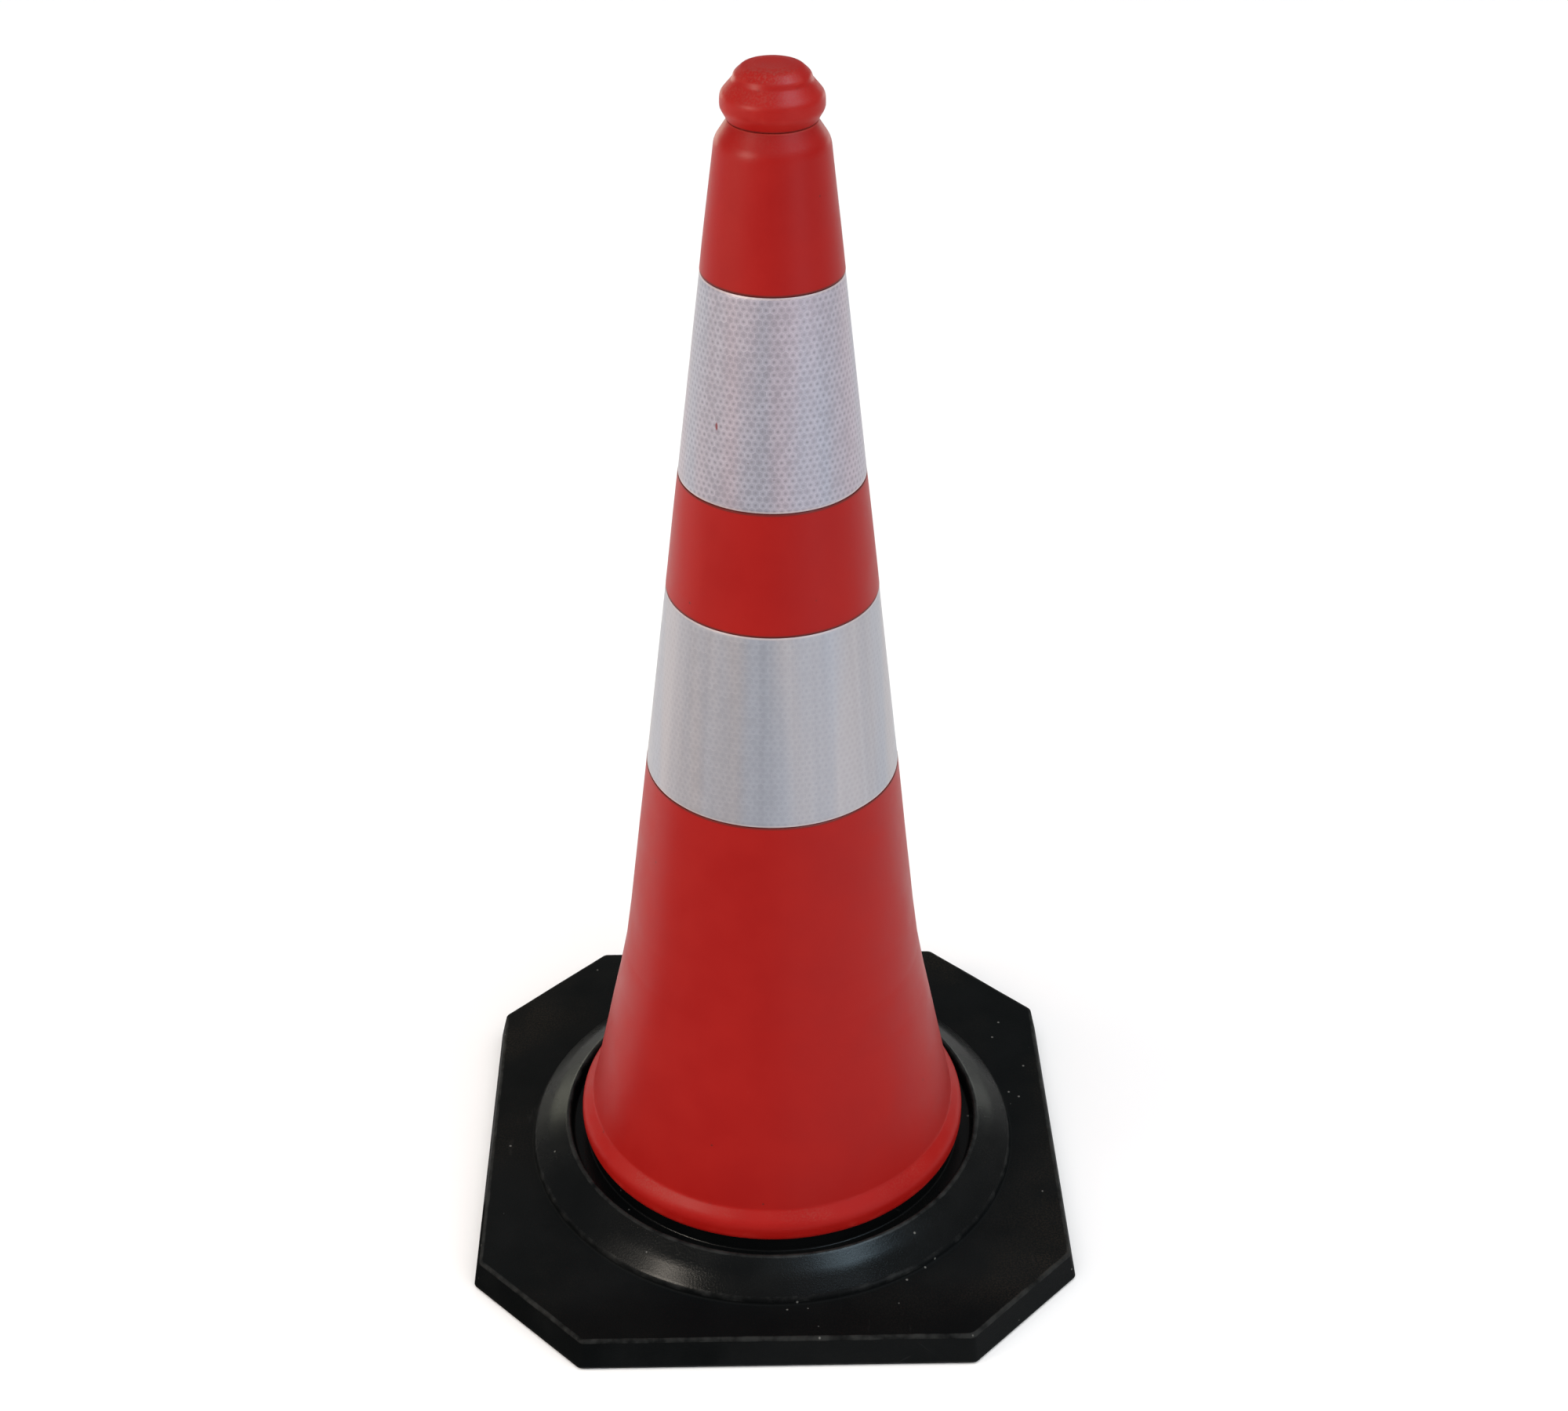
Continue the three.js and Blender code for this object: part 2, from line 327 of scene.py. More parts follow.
# %% The shell's outline
WALL = 2.5
CONE_FOOT = (120.2, 268.0)
CONE_TOP = (42.0, 940.0)
FLARE_FOOT = (158.0, 80.0)
LIP_UNDERSIDE = 53.0
SKIRT_RADIUS = 150.0
SKIRT_FOOT = cone_low.z / MM
NECK_RADIUS = 31.8
PLUG_RADIUS = 24.0
BED_DEPTH = 0.6
FLARE_TOP = 245
FLARE_SWEEP = 800
SHOULDER = 947
BAND_NODES = ("lower_band", "upper_band")
BANDS = {node: tuple(corner.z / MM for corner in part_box(node)) for node in BAND_NODES}


def cone_radius(z):
    """Outside radius of the straight cone at a height."""
    (r0, z0), (r1, z1) = CONE_FOOT, CONE_TOP
    return r0 + (r1 - r0) * (z - z0) / (z1 - z0)


def band_bed(low, high):
    """The shallow bed for a band, with its two small steps."""
    margin, step = 1.2, 0.4
    low, high = low - margin, high + margin
    return [
        (cone_radius(low), low, 0.3),
        (cone_radius(low + step) - BED_DEPTH, low + step, 0.2),
        (cone_radius(high - step) - BED_DEPTH, high - step, 0.2),
        (cone_radius(high), high, 0.3),
    ]


def shell_outline():
    outside = [
        (SKIRT_RADIUS - 1.5, SKIRT_FOOT, 0.5),
        (SKIRT_RADIUS, SKIRT_FOOT + 3, 1.5),
        (SKIRT_RADIUS, LIP_UNDERSIDE, 1),
        (LIP_RADIUS, LIP_UNDERSIDE, 7),
        (LIP_RADIUS, 69.5, 14),
        (FLARE_FOOT[0], FLARE_FOOT[1], 5),
        (cone_radius(FLARE_TOP), FLARE_TOP, FLARE_SWEEP),
        *band_bed(*BANDS["lower_band"]),
        *band_bed(*BANDS["upper_band"]),
        (cone_radius(SHOULDER), SHOULDER, 16),
        (NECK_RADIUS, NECK_TOP, 1.2),
    ]
    inside = [
        (PLUG_RADIUS, NECK_TOP, 0.5),
        (PLUG_RADIUS, NECK_TOP - WALL - 0.8, 0.5),
        (cone_radius(SHOULDER) - WALL - 0.5, SHOULDER - 1, 12),
        (cone_radius(FLARE_TOP) - WALL - BED_DEPTH, FLARE_TOP, FLARE_SWEEP),
        (FLARE_FOOT[0] - WALL, FLARE_FOOT[1], 7),
        (LIP_RADIUS - WALL, 69, 12),
        (LIP_RADIUS - WALL, LIP_UNDERSIDE + WALL, 5),
        (SKIRT_RADIUS - WALL, LIP_UNDERSIDE + WALL, 1.5),
        (SKIRT_RADIUS - WALL, SKIRT_FOOT, 0.5),
    ]
    return with_steps(rounded(outside + inside), 12)


# %% Turn the shell and slot its skirt
def prism(outline, low, high):
    """Vertices and faces of a solid with the same outline all the way up."""
    count = len(outline)
    vertices = [(*xy, z) for z in (low, high) for xy in outline]
    faces = [tuple(reversed(range(count))), tuple(range(count, 2 * count))]
    faces += [(k, (k + 1) % count, (k + 1) % count + count, k + count) for k in range(count)]
    return vertices, faces


def prisms_round_axis(name, families):
    """One object of many prisms. A family is an outline, low, high, count and first angle."""
    vertices, faces = [], []
    for outline, low, high, count, first in families:
        for i in range(count):
            spin = Matrix.Rotation(first + 2 * math.pi * i / count, 2)
            more, more_faces = prism([tuple(spin @ Vector(xy)) for xy in outline], low, high)
            faces += [tuple(len(vertices) + corner for corner in face) for face in more_faces]
            vertices += more
    return mesh_object(name, vertices, faces)


def skirt_slots():
    """Eight narrow blocks, which leave slots between the tongues of the skirt."""
    half_width, reach, bottom, top, count = 3.5, 8, -5, 36, 8
    near, far = SKIRT_RADIUS - reach, SKIRT_RADIUS + reach
    outline = [(near, -half_width), (far, -half_width), (far, half_width), (near, half_width)]
    return prisms_round_axis("slots", [(outline, bottom, top, count, math.pi / count)])


def make_shell():
    shell = turned("shell", shell_outline(), 240, ripple=0.3)
    cut_with(shell, skirt_slots())
    even_shading(shell)
    return shell


shell = make_shell()
print(f"shell: {len(shell.data.vertices)} vertices")

# %% [markdown]
# ## The knob
# The knob is for the hand, so it is all round curves: a fat ring with a smaller button on top.
# It is moulded hollow and its stem snaps into the shell's neck, which leaves the fine joint
# line under the ring, darkened with painted shade.

# %% Turn the knob
def knob_outline():
    """From the middle of the hollow's roof, down the inside, and up the outside to the top."""
    stem = PLUG_RADIUS - 0.3
    bore = stem - 3.5
    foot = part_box("top_knob")[0].z / MM
    neck_inside = NECK_TOP - WALL - 1.1
    seat = NECK_TOP + 0.3
    inside = [
        (0.5, HEIGHT - 7.0, 0),
        (14, HEIGHT - 7.5, 6),
        (22, HEIGHT - 13.0, 4),
        (bore, HEIGHT - 40.0, 6),
        (bore, foot, 1),
        (stem - 1.5, foot, 1),
    ]
    snap_bead = [
        (stem + 1.2, neck_inside - 5, 1),
        (stem + 1.2, neck_inside - 1.5, 0.6),
        (stem, neck_inside, 0.3),
    ]
    outside = [
        (stem, seat, 0.4),
        (NECK_RADIUS, seat, 0.8),
        (36.9, HEIGHT - 29.5, 8),
        (36.6, HEIGHT - 20.5, 8),
        (28.2, HEIGHT - 10.4, 5),
        (26.9, HEIGHT - 6.5, 6),
        (21.0, HEIGHT - 1.0, 7),
        (13.0, HEIGHT, 8),
        (0.5, HEIGHT, 0),
    ]
    return with_steps(rounded(inside + snap_bead + outside, closed=False), 3, closed=False)


knob = turned("knob", knob_outline(), 128, ripple=0.12, closed=False)
print(f"knob: {len(knob.data.vertices)} vertices")

# %% [markdown]
# ## The reflective bands
# Each band is one strip of film, wound once round the cone from the back, where its outer end
# laps over the inner one. A strip is a grid of points with a front and a back, so it is built
# as a grid rather than turned. Each point also remembers where it lay on the flat sheet that
# the strip was cut from: a cone unrolls to a fan, and the honeycomb is drawn on that fan, so
# its cells keep their size and shape all the way round.

# %% Wind a strip of film round the cone
FILM_THICKNESS = 0.35
HALF_ANGLE = math.atan((CONE_FOOT[0] - CONE_TOP[0]) / (CONE_TOP[1] - CONE_FOOT[1]))
LAP = math.radians(7)
FRONT = 1.5 * math.pi


def smooth_rise(value, start, end):
    """0 before the start, 1 after the end, and an S-shaped climb between them."""
    t = min(1, max(0, (value - start) / (end - start)))
    return t * t * (3 - 2 * t)


def unrolled(radius, angle):
    """Where a point of the cone lies on the flat sheet, and its angle, as (x, y, angle)."""
    slant = radius / math.sin(HALF_ANGLE)
    spread = (angle - FRONT) * math.sin(HALF_ANGLE)
    return (slant * math.sin(spread), -slant * math.cos(spread), angle)


def film_row(z, angles, outer, drop):
    """One row of the strip's front or back, as points and their places on the flat sheet."""
    points, flat = [], []
    for angle in angles:
        lift = smooth_rise(angle, angles[-1] - LAP - 0.05, angles[-1] - LAP - 0.005)
        radius = cone_radius(z) - BED_DEPTH + 0.06 + lift * (FILM_THICKNESS + 0.06)
        if outer:
            wave = noise.noise(Vector((angle * 6, z / 22, 3.1)))
            radius += FILM_THICKNESS - drop + 0.05 * wave
        points.append((radius * math.cos(angle), radius * math.sin(angle), z))
        flat.append(unrolled(cone_radius(z), angle))
    return points, flat


def make_band(name, node):
    low, high = BANDS[node]
    columns, rows, soft_edge = 368, 32, 0.3
    start = math.pi / 2 - LAP / 2
    angles = [start + (2 * math.pi + LAP) * k / columns for k in range(columns + 1)]
    heights = [low + (high - low) * j / rows for j in range(rows + 1)]
    heights = [low, low + soft_edge, *heights[1:-1], high - soft_edge, high]
    vertices, flat = [], []
    for outer in (False, True):
        for z in heights:
            drop = 0.15 if z in (low, high) else 0
            points, places = film_row(z, angles, outer, drop)
            vertices += points
            flat += places
    across, up = len(angles), len(heights)
    faces = []
    for j in range(up - 1):
        for k in range(columns):
            here, above = j * across + k, (j + 1) * across + k
            back = (here, above, above + 1, here + 1)
            faces.append(back)
            faces.append(tuple(across * up + corner for corner in reversed(back)))
    rim = [*range(across), *(j * across + columns for j in range(1, up))]
    rim += [*((up - 1) * across + k for k in reversed(range(columns)))]
    rim += [j * across for j in reversed(range(1, up - 1))]
    for here, after in zip(rim, rim[1:] + rim[:1]):
        faces.append((here, after, after + across * up, here + across * up))
    band = mesh_object(name, vertices, faces)
    flat_sheet = band.data.attributes.new("flat_sheet", "FLOAT_VECTOR", "POINT")
    flat_sheet.data.foreach_set("vector", [value for place in flat for value in place])
    return band


bands = {node: make_band(f"film_{node}", node) for node in BANDS}
for node, band in bands.items():
    low, high = BANDS[node]
    print(f"{band.name}: {len(band.data.vertices)} vertices, z {low:.0f}-{high:.0f} mm")

# %% [markdown]
# ## The rubber base
# The base is a heavy moulding: a square slab with its corners cut, and a round collar that
# rises from it to a crest, drops into a gutter, and rises again to the seat under the cone's
# lip. Joining a turned collar to a slab with a boolean would leave a hard line and long thin
# faces between them. Instead one profile runs over the whole section, and each of its points
# becomes a ring that is octagonal outside and round inside, with a smooth change on the flat.

# %% The base's rings
CORNER_CUT = 93
SLAB_TOP = 27
SLAB_DRAFT = 5.5
COLLAR_FOOT = 212.5
BORE = SKIRT_RADIUS + 0.4


def base_profile():
    """The section along +X: up the outside, over the collar, and down the bore."""
    side = BASE_HALF - SLAB_DRAFT
    seat = LIP_UNDERSIDE - 0.3
    gutter = 38.5
    corners = [
        (BORE, 0, 1),
        (BASE_HALF - 1.3, 0, 0.8),
        (BASE_HALF, 1.6, 1.2),
        (side - 0.3, SLAB_TOP, 2.8),
        (COLLAR_FOOT + 0.5, SLAB_TOP, 2.2),
        (COLLAR_FOOT, SLAB_TOP + 4.8, 6),
        (197, SLAB_TOP + 16.0, 60),
        (179.7, SLAB_TOP + 26.2, 3),
        (177.2, gutter, 2.5),
        (163.3, gutter, 2.5),
        (161.3, seat, 1.6),
        (BORE, seat, 1),
    ]
    return with_steps(rounded(corners), 7)


def slab_ring(half):
    """The square with cut corners, as points with softly rounded corners."""
    corner_radius, long_steps, short_steps = 7, 40, 16
    inset = BASE_HALF - half
    near = 2 * BASE_HALF - CORNER_CUT - inset * math.sqrt(2) - half
    corners = []
    for turn in range(4):
        spin = Matrix.Rotation(turn * math.pi / 2, 2)
        corners += [(*(spin @ Vector(xy)), corner_radius) for xy in ((half, -near), (half, near))]
    arcs = [Vector(point[:2]) for point in rounded(corners)]
    per_corner = len(arcs) // 8
    ring = []
    for i, point in enumerate(arcs):
        ring.append(point)
        corner, place = divmod(i, per_corner)
        if place == per_corner - 1:
            steps = long_steps if corner % 2 == 0 else short_steps
            ring += [point.lerp(arcs[(i + 1) % len(arcs)], k / steps) for k in range(1, steps)]
    return ring


def base_ring(reach):
    """The ring whose point on +X is that far from the axis."""
    all_slab, all_round = BASE_HALF - 11, COLLAR_FOOT + 4
    roundness = smooth_rise(-reach, -all_slab, -all_round)
    ring = []
    for point in slab_ring(max(reach, all_slab)):
        straight = point * min(1, reach / all_slab)
        ring.append(straight.lerp(point.normalized() * reach, roundness))
    return ring


# %% Pockets under the base
def arc(centre, radius, start, end, steps):
    """Points on an arc about a centre on +X, in radians."""
    angles = [start + (end - start) * k / steps for k in range(steps + 1)]
    return [(centre + radius * math.cos(a), radius * math.sin(a)) for a in angles]


def collar_pocket(count):
    """One of the pockets under the collar, with a rib on each side."""
    inner, outer, rib = 160, 206, 9
    half = math.pi / count - rib / 2 / inner
    return arc(0, outer, -half, half, 8) + arc(0, inner, half, -half, 8)


def corner_pocket():
    near, far, radius, quarter = 236, 260, 18, math.pi / 2
    return arc(far, radius, -quarter, quarter, 12) + arc(near, radius, quarter, 3 * quarter, 12)


def base_pockets():
    """All the pockets as one object, with their edges rounded."""
    collar_count, collar_depth, corner_depth = 16, 25, 15
    below = -10
    cutter = prisms_round_axis("pockets", [
        (collar_pocket(collar_count), below, collar_depth, collar_count, 0),
        (corner_pocket(), below, corner_depth, 4, math.pi / 4),
    ])
    soften = cutter.modifiers.new("soften", "BEVEL")
    soften.width, soften.segments = 2.5 * MM, 3
    soften.angle_limit = math.radians(35)
    return cutter


# %% Build the base
def make_base():
    profile = base_profile()
    vertices, bends = [], []
    for reach, z, bend in profile:
        ring = base_ring(reach)
        for point in ring:
            sag = 0.25 * unevenness(point.x, point.y, z) if z > 5 else 0
            vertices.append((point.x, point.y, z + sag))
            bends.append(bend)
    base = mesh_object("base", vertices, ring_faces(len(profile), len(ring), True), bends)
    cut_with(base, base_pockets())
    even_shading(base)
    return base


base = make_base()
print(f"base: {len(base.data.vertices)} vertices")

# %% [markdown]
# ## How the materials are written
# A material is a tree of nodes. Short helpers keep the trees readable: one adds a node and
# fills its inputs with values or links, one does sums, one turns a range of values into a soft
# mask, and a few more lay colours over each other. Effects that several materials share are
# node groups with named sockets. A group here only puts out masks and heights, and each
# material decides what they do to its surface.

# %% Node helpers
def add(tree, kind, inputs=(), **settings):
    """Adds a node, sets its properties, then gives its inputs values or links."""
    step = tree.nodes.new(kind)
    for name, value in settings.items():
        setattr(step, name, value)
    for key, value in dict(inputs).items():
        if isinstance(value, bpy.types.NodeSocket):
            tree.links.new(value, step.inputs[key])
        else:
            step.inputs[key].default_value = value
    return step


def calc(tree, operation, *values):
    return add(tree, "ShaderNodeMath", enumerate(values), operation=operation).outputs[0]


def vector_calc(tree, operation, *values):
    step = add(tree, "ShaderNodeVectorMath", enumerate(values), operation=operation)
    return step.outputs["Value" if operation in ("DOT_PRODUCT", "LENGTH") else "Vector"]


def mask(tree, value, start, end, high=1.0):
    """0 where the value is at the start, high where it is at the end, and soft between."""
    limits = {"Value": value, "From Min": start, "From Max": end, "To Max": high}
    return add(tree, "ShaderNodeMapRange", limits, interpolation_type="SMOOTHSTEP").outputs["Result"]


def clouds(tree, place, scale, detail=2, stretch=(1, 1, 1)):
    """Soft random patches, about 1 / scale of a unit across."""
    stretched = vector_calc(tree, "MULTIPLY", place, stretch)
    inputs = {"Vector": stretched, "Scale": scale, "Detail": detail}
    return add(tree, "ShaderNodeTexNoise", inputs).outputs["Fac"]


def tint(tree, share, under, over, mode="MIX"):
    """Lays one colour over another."""
    factor, first, second = 0, 6, 7
    step = add(tree, "ShaderNodeMix", data_type="RGBA", blend_type=mode)
    for index, value in ((factor, share), (first, under), (second, over)):
        if isinstance(value, bpy.types.NodeSocket):
            tree.links.new(value, step.inputs[index])
        else:
            step.inputs[index].default_value = (*value, 1) if index != factor else value
    return step.outputs[2]


def stain(tree, share, amount, under, over):
    """Lays a colour over another where the share is high, at most by the amount."""
    return tint(tree, calc(tree, "MULTIPLY", share, amount), under, over)


def swing(tree, value, width):
    """Turns a value of 0 to 1 into one that swings either side of 0, width wide in all."""
    return calc(tree, "MULTIPLY", calc(tree, "SUBTRACT", value, 0.5), width)


def height_mm(tree, place):
    """How high a place is above the ground, in millimetres, while the cone is in its base."""
    spot = add(tree, "ShaderNodeSeparateXYZ", {"Vector": place}).outputs
    return calc(tree, "DIVIDE", spot["Z"], MM)


def new_group(name, inputs, outputs):
    """An empty group that takes a place and some numbers, and puts out numbers."""
    group = bpy.data.node_groups.new(name, "ShaderNodeTree")
    group.interface.new_socket("Place", in_out="INPUT", socket_type="NodeSocketVector")
    for title, value in inputs.items():
        socket = group.interface.new_socket(title, in_out="INPUT", socket_type="NodeSocketFloat")
        socket.default_value = value
    for title in outputs:
        group.interface.new_socket(title, in_out="OUTPUT", socket_type="NodeSocketFloat")
    given = group.nodes.new("NodeGroupInput").outputs
    result = group.nodes.new("NodeGroupOutput").inputs
    return group, given, result


def use(tree, group, place, **values):
    """Puts a group in a material. Underscores in a value's name stand for spaces."""
    inputs = {title.replace("_", " "): value for title, value in values.items()}
    step = add(tree, "ShaderNodeGroup", node_tree=group)
    tree.links.new(place, step.inputs["Place"])
    for title, value in inputs.items():
        step.inputs[title].default_value = value
    return step.outputs


# %% [markdown]
# ## Effects that the materials share
# Moulded plastic and rubber both have a fine grain from the mould, slow patches where the
# colour isn't quite even, edges that rub paler (on the rubber partly a painted highlight),
# creases darkened with painted shade and some dirt, marks from handling, specks, and dust on
# whatever faces up. Each is a group below. Sizes are in metres, so a scale of 1000 gives
# patches about a millimetre across.

# %% Grain and patches
def moulded_group():
    scales = {"Grain Scale": 900, "Patch Scale": 22}
    group, given, result = new_group("moulded", scales, ("Grain", "Patches"))
    tree, place = group, given["Place"]
    grain, patches = (
        add(tree, "ShaderNodeTexNoise", {"Vector": place, "Scale": given[scale], "Detail": detail})
        for scale, detail in (("Grain Scale", 3), ("Patch Scale", 5)))
    tree.links.new(grain.outputs["Fac"], result["Grain"])
    tree.links.new(mask(tree, patches.outputs["Fac"], 0.3, 0.7), result["Patches"])
    return group


moulded = moulded_group()

# %% Rubbed edges, partly painted highlight, and creases darkened with painted shade
def edges_group():
    """Reads how sharply the surface bends, which was noted when the outlines were rounded."""
    group, given, result = new_group("edges", {"Breakup": 0.7}, ("Rubbed And Highlight", "Crease"))
    tree, place = group, given["Place"]
    bend = add(tree, "ShaderNodeAttribute", attribute_name="bend").outputs["Fac"]
    coarse = clouds(tree, place, 90, detail=4)
    shift = swing(tree, coarse, given["Breakup"])
    tree.links.new(mask(tree, calc(tree, "ADD", bend, shift), 0.25, 0.7), result["Rubbed And Highlight"])
    tree.links.new(mask(tree, calc(tree, "SUBTRACT", shift, bend), 0.4, 0.8), result["Crease"])
    return group


edges = edges_group()

# %% Marks from handling
def marks_group():
    """Short thin scuffs in two directions, gathered in patches."""
    group, given, result = new_group("marks", {"Scale": 30, "Share": 0.5}, ("Marks",))
    tree, place = group, given["Place"]
    level = calc(tree, "SUBTRACT", 0.78, calc(tree, "MULTIPLY", given["Share"], 0.12))
    layers = []
    for turn, stretch in ((0.5, (1, 1, 9)), (-0.7, (1.2, 1.2, 12))):
        turn_inputs = {"Vector": place, "Angle": turn}
        turned_place = add(tree, "ShaderNodeVectorRotate", turn_inputs, rotation_type="Y_AXIS")
        lines = add(tree, "ShaderNodeTexNoise", {
            "Vector": vector_calc(tree, "MULTIPLY", turned_place.outputs["Vector"], stretch),
            "Scale": given["Scale"], "Detail": 6, "Roughness": 0.6})
        above = calc(tree, "SUBTRACT", lines.outputs["Fac"], level)
        layers.append(mask(tree, above, -0.03, 0.06))
    patches = mask(tree, clouds(tree, place, 11, detail=3), 0.5, 0.7)
    both = calc(tree, "MAXIMUM", *layers)
    tree.links.new(calc(tree, "MULTIPLY", both, patches), result["Marks"])
    return group


marks = marks_group()

# %% Specks
def specks_group():
    """Small round specks: a few of the cells of a cell pattern, each filled only at its middle."""
    group, given, result = new_group("specks", {"Scale": 150, "Share": 0.1, "Size": 0.3}, ("Specks",))
    tree, place = group, given["Place"]
    cells = add(tree, "ShaderNodeTexVoronoi", {"Vector": place, "Scale": given["Scale"]})
    random = add(tree, "ShaderNodeSeparateColor", {"Color": cells.outputs["Color"]}).outputs[0]
    chosen = calc(tree, "LESS_THAN", random, given["Share"])
    radius = calc(tree, "MULTIPLY", given["Size"], 0.6)
    inside = add(tree, "ShaderNodeMapRange", {
        "Value": cells.outputs["Distance"], "From Min": given["Size"], "From Max": radius})
    tree.links.new(calc(tree, "MULTIPLY", chosen, inside.outputs["Result"]), result["Specks"])
    return group


specks = specks_group()

# %% Dust that settles on what faces up
def dust_group():
    group, given, result = new_group("dust", {"Patch Scale": 14, "Amount": 0.5}, ("Dust",))
    tree, place = group, given["Place"]
    normal = add(tree, "ShaderNodeNewGeometry").outputs["Normal"]
    up = mask(tree, add(tree, "ShaderNodeSeparateXYZ", {"Vector": normal}).outputs["Z"], 0.35, 0.95)
    patches = add(tree, "ShaderNodeTexNoise", {"Vector": place, "Scale": given["Patch Scale"], "Detail": 6})
    fine = mask(tree, clouds(tree, place, 700, detail=2), 0.35, 0.75)
    lying = calc(tree, "MULTIPLY", mask(tree, patches.outputs["Fac"], 0.42, 0.72), fine)
    share = calc(tree, "MULTIPLY", calc(tree, "MULTIPLY", up, lying), given["Amount"])
    tree.links.new(share, result["Dust"])
    return group


dust = dust_group()


def new_material(name):
    material = bpy.data.materials.new(name)
    material.use_nodes = True
    tree = material.node_tree
    place = tree.nodes.new("ShaderNodeTexCoord").outputs["Object"]
    return material, tree, tree.nodes["Principled BSDF"], place


def set_look(surface, **values):
    """Sets the shader's own sockets, with underscores for spaces. Links are made, values are set."""
    for title, value in values.items():
        socket = surface.inputs[title.replace("_", " ")]
        if isinstance(value, bpy.types.NodeSocket):
            surface.id_data.links.new(value, socket)
        else:
            socket.default_value = value


def relief(tree, height, depth, strength=1.0):
    """A bump from a height of 0 to 1 that is depth millimetres high."""
    inputs = {"Height": height, "Distance": depth * MM, "Strength": strength}
    return add(tree, "ShaderNodeBump", inputs).outputs["Normal"]


# %% [markdown]
# ## Red plastic
# The shell and the knob are the same soft plastic, coloured right through. It is satin, not
# glossy: a fine grain spreads its highlights. Where it rubs it goes pale and pinkish, because
# the surface is scratched white. The tiny dark dots are flecks of dirt pressed into the skin.

# %% The plastic of the shell and the knob
def gap_shade_lines(tree, place, heights):
    """Thin dark lines of painted shade round the cone, at the given heights, such as the gaps beside the
    film.
    """
    faded, full, darkest = 1.9, 0.7, 0.75
    height = height_mm(tree, place)
    share = 0.0
    for line in heights:
        away = calc(tree, "ABSOLUTE", calc(tree, "SUBTRACT", height, line))
        share = calc(tree, "MAXIMUM", share, mask(tree, away, faded, full, high=darkest))
    return share


def red_plastic(name, red, deep_red, shaded_heights):
    material, tree, surface, place = new_material(name)
    skin = use(tree, moulded, place, Grain_Scale=1100, Patch_Scale=26)
    edge = use(tree, edges, place, Breakup=0.8)
    scuffs = use(tree, marks, place, Scale=26, Share=0.5)["Marks"]
    flecks = use(tree, specks, place, Scale=95, Share=0.02, Size=0.11)["Specks"]
    grime = use(tree, dust, place, Patch_Scale=16, Amount=0.35)["Dust"]
    colour = tint(tree, skin["Patches"], deep_red, red)
    colour = stain(tree, edge["Rubbed And Highlight"], 0.35, colour, (0.46, 0.055, 0.040))
    colour = stain(tree, scuffs, 0.3, colour, (0.45, 0.12, 0.10))
    # Painted shade, with some dirt, darkens the inward creases, such as the steps of the film's beds.
    colour = stain(tree, edge["Crease"], 0.85, colour, (0.06, 0.006, 0.005))
    colour = stain(tree, flecks, 0.7, colour, (0.06, 0.012, 0.010))
    # Painted shade in the gaps beside the film and at the knob's joint.
    colour = tint(tree, gap_shade_lines(tree, place, shaded_heights), colour, (0.07, 0.010, 0.009))
    colour = tint(tree, grime, colour, (0.22, 0.11, 0.09))
    rough = calc(tree, "ADD", 0.38, calc(tree, "MULTIPLY", skin["Patches"], 0.07))
    rough = calc(tree, "ADD", rough, calc(tree, "MULTIPLY", scuffs, 0.2))
    height = calc(tree, "SUBTRACT", skin["Grain"], calc(tree, "MULTIPLY", flecks, 0.6))
    set_look(surface, Base_Color=colour, Roughness=rough, Normal=relief(tree, height, 0.10, 0.6))
    set_look(surface, Specular_IOR_Level=0.13)
    return material


# Heights of the gaps beside the film, where lines of painted shade go.
GAP_MIDDLE = 0.8
film_edges = []
for low, high in BANDS.values():
    film_edges += [low - GAP_MIDDLE, high + GAP_MIDDLE]
shell_red = red_plastic(
    "shell_red_plastic", red=(0.300, 0.0060, 0.0040), deep_red=(0.283, 0.0050, 0.0036),
    shaded_heights=film_edges)
knob_red = red_plastic(
    "knob_red_plastic", red=(0.325, 0.0085, 0.0055), deep_red=(0.295, 0.0060, 0.0045),
    shaded_heights=[NECK_TOP])

# %% [markdown]
# ## Reflective film
# The film is a sheet of tiny prisms sealed in cells. The walls between the cells are a honeycomb
# that stands slightly proud, and each cell throws light back its own way, so cells differ a
# little in brightness. The honeycomb is worked out rather than painted: the plane is covered by
# two offset grids of rectangles, the nearer grid's middle is the middle of the cell, and the
# distance to the cell's edge gives the wall.

# %% The honeycomb
CELL_PITCH = 5.45


